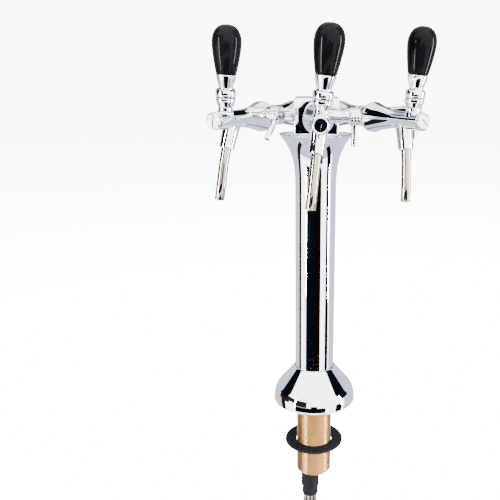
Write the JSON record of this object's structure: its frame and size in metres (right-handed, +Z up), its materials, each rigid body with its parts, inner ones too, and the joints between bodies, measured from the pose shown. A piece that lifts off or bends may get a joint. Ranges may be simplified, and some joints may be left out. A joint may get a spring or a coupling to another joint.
{
  "type": "beer tap tower",
  "caption": "Counter-top chrome beer tower: flared column, manifold head with fanned compensator taps, black lever grips, brass through-counter stem and beer lines.",
  "frame": {"origin": "centre of the counter hole, on the counter's top surface under the base", "axes": "+Z up along the column; -Y towards the person pouring, close to the middle tap's direction; +X to that person's right"},
  "size_m": [0.2245, 0.2434, 0.6472],
  "materials": {
    "chrome": "mirror-polished chrome plate",
    "stainless_steel": "drawn stainless tube, satin",
    "brass": "machined brass, fine thread",
    "black_rubber": "matt moulded rubber",
    "black_plastic": "high-gloss moulded plastic",
    "white_plastic": "plain moulded plastic"
  },
  "bodies": {
    "tower": {"base_cone": "chrome", "base_gasket": "black_rubber", "beer_line_centre": "stainless_steel", "beer_line_left": "stainless_steel", "beer_line_right": "stainless_steel", "centre_body": "chrome", "centre_bonnet_ring": "chrome", "centre_coupling_nut": "chrome", "centre_front_cap": "chrome", "centre_shank": "stainless_steel", "centre_spout": "stainless_steel", "column": "chrome", "flare_plate": "chrome", "left_body": "chrome", "left_bonnet_ring": "chrome", "left_coupling_nut": "chrome", "left_front_cap": "chrome", "left_shank": "stainless_steel", "left_spout": "stainless_steel", "line_sleeve": "black_rubber", "manifold_head": "chrome", "right_body": "chrome", "right_bonnet_ring": "chrome", "right_coupling_nut": "chrome", "right_front_cap": "chrome", "right_shank": "stainless_steel", "right_spout": "stainless_steel", "stem_washer": "black_rubber", "threaded_stem": "brass"},
    "left_handle": {"left_lever": "stainless_steel", "left_lever_cup": "chrome", "left_collar": "chrome", "left_ferrule": "chrome", "left_grip": "black_plastic"},
    "left_plunger": {"left_plunger": "stainless_steel", "left_plunger_seal": "black_rubber"},
    "left_compensator": {"left_compensator": "white_plastic"},
    "left_flow_control": {"left_flow_shaft": "stainless_steel", "left_flow_lever": "chrome"},
    "centre_handle": {"centre_lever": "stainless_steel", "centre_lever_cup": "chrome", "centre_collar": "chrome", "centre_ferrule": "chrome", "centre_grip": "black_plastic"},
    "centre_plunger": {"centre_plunger": "stainless_steel", "centre_plunger_seal": "black_rubber"},
    "centre_compensator": {"centre_compensator": "white_plastic"},
    "centre_flow_control": {"centre_flow_shaft": "stainless_steel", "centre_flow_lever": "chrome"},
    "right_handle": {"right_lever": "stainless_steel", "right_lever_cup": "chrome", "right_collar": "chrome", "right_ferrule": "chrome", "right_grip": "black_plastic"},
    "right_plunger": {"right_plunger": "stainless_steel", "right_plunger_seal": "black_rubber"},
    "right_compensator": {"right_compensator": "white_plastic"},
    "right_flow_control": {"right_flow_shaft": "stainless_steel", "right_flow_lever": "chrome"}
  },
  "joints": [
    {"name": "left_handle_pull", "type": "hinge", "parent": "tower", "child": "left_handle", "pos_m": [-0.09009, -0.12737, 0.38351], "axis": [0.8698, -0.4782, -0.1219], "range_deg": [0, 25]},
    {"name": "left_plunger_slide", "type": "slide", "parent": "tower", "child": "left_plunger", "axis": [0.4818, 0.8763, 0], "range_m": [0, 0.00503]},
    {"name": "left_flow_turn", "type": "hinge", "parent": "tower", "child": "left_flow_control", "pos_m": [-0.07108, -0.09103, 0.37656], "axis": [-0.8758, 0.4815, 0.0349], "range_deg": [-99, 61]},
    {"name": "left_compensator_slide", "type": "slide", "parent": "tower", "child": "left_compensator", "axis": [-0.4818, -0.8763, 0], "range_m": [-0.00139, 0.00086]},
    {"name": "centre_handle_pull", "type": "hinge", "parent": "tower", "child": "centre_handle", "pos_m": [0.00481, -0.16994, 0.38353], "axis": [0.9943, 0.0208, -0.1045], "range_deg": [0, 25]},
    {"name": "centre_plunger_slide", "type": "slide", "parent": "tower", "child": "centre_plunger", "axis": [-0.0209, 0.9998, 0], "range_m": [0, 0.00503]},
    {"name": "centre_flow_turn", "type": "hinge", "parent": "tower", "child": "centre_flow_control", "pos_m": [0.00322, -0.12896, 0.37657], "axis": [-0.9996, -0.0209, 0.0175], "range_deg": [-60, 100]},
    {"name": "centre_compensator_slide", "type": "slide", "parent": "tower", "child": "centre_compensator", "axis": [0.0209, -0.9998, 0], "range_m": [-0.00085, 0.00141]},
    {"name": "right_handle_pull", "type": "hinge", "parent": "tower", "child": "right_handle", "pos_m": [0.09704, -0.12246, 0.38359], "axis": [0.8546, 0.5175, -0.0436], "range_deg": [0, 25]},
    {"name": "right_plunger_slide", "type": "slide", "parent": "tower", "child": "right_plunger", "axis": [-0.518, 0.8554, 0], "range_m": [0, 0.00503]},
    {"name": "right_flow_turn", "type": "hinge", "parent": "tower", "child": "right_flow_control", "pos_m": [0.07554, -0.08754, 0.3766], "axis": [-0.8546, -0.5175, -0.0436], "range_deg": [-60, 100]},
    {"name": "right_compensator_slide", "type": "slide", "parent": "tower", "child": "right_compensator", "axis": [0.518, -0.8554, 0], "range_m": [-0.00085, 0.00141]}
  ],
  "couplings": [
    {"joint": "left_plunger_slide", "follows": "left_handle_pull", "m_per_rad": 0.0115},
    {"joint": "left_compensator_slide", "follows": "left_flow_turn", "m_per_rad": 0.0008},
    {"joint": "centre_plunger_slide", "follows": "centre_handle_pull", "m_per_rad": 0.0115},
    {"joint": "centre_compensator_slide", "follows": "centre_flow_turn", "m_per_rad": 0.0008},
    {"joint": "right_plunger_slide", "follows": "right_handle_pull", "m_per_rad": 0.0115},
    {"joint": "right_compensator_slide", "follows": "right_flow_turn", "m_per_rad": 0.0008}
  ]
}
